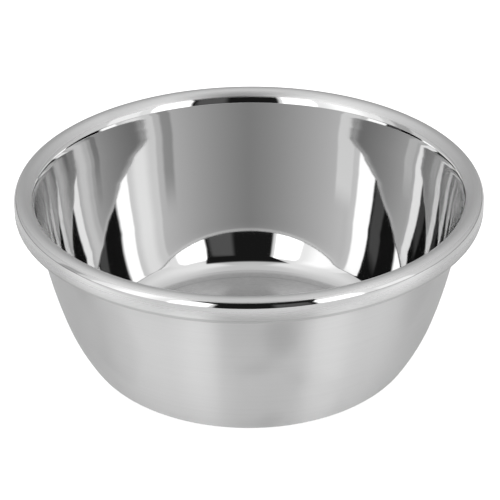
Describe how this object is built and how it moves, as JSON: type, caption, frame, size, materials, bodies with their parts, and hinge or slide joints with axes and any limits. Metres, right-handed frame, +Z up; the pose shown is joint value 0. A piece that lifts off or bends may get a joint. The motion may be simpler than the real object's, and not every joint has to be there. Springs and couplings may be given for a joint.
{
  "type": "mixing bowl",
  "caption": "Deep round steel mixing bowl with a flat base, a flared wall and a thick rolled rim, for mixing and kneading.",
  "frame": {"origin": "centre of the flat base's underside, on the surface that the bowl stands on", "axes": "+Z up, out of the bowl's mouth, along its axis of symmetry"},
  "size_m": [0.24, 0.24, 0.0981],
  "materials": {
    "drawn_steel": "mirror-polished inside and over the bead's top, satin outside",
    "wire_steel": "plain drawn wire"
  },
  "bodies": {
    "root": {"bowl_shell": "drawn_steel", "rim_wire": "wire_steel"}
  },
  "joints": []
}
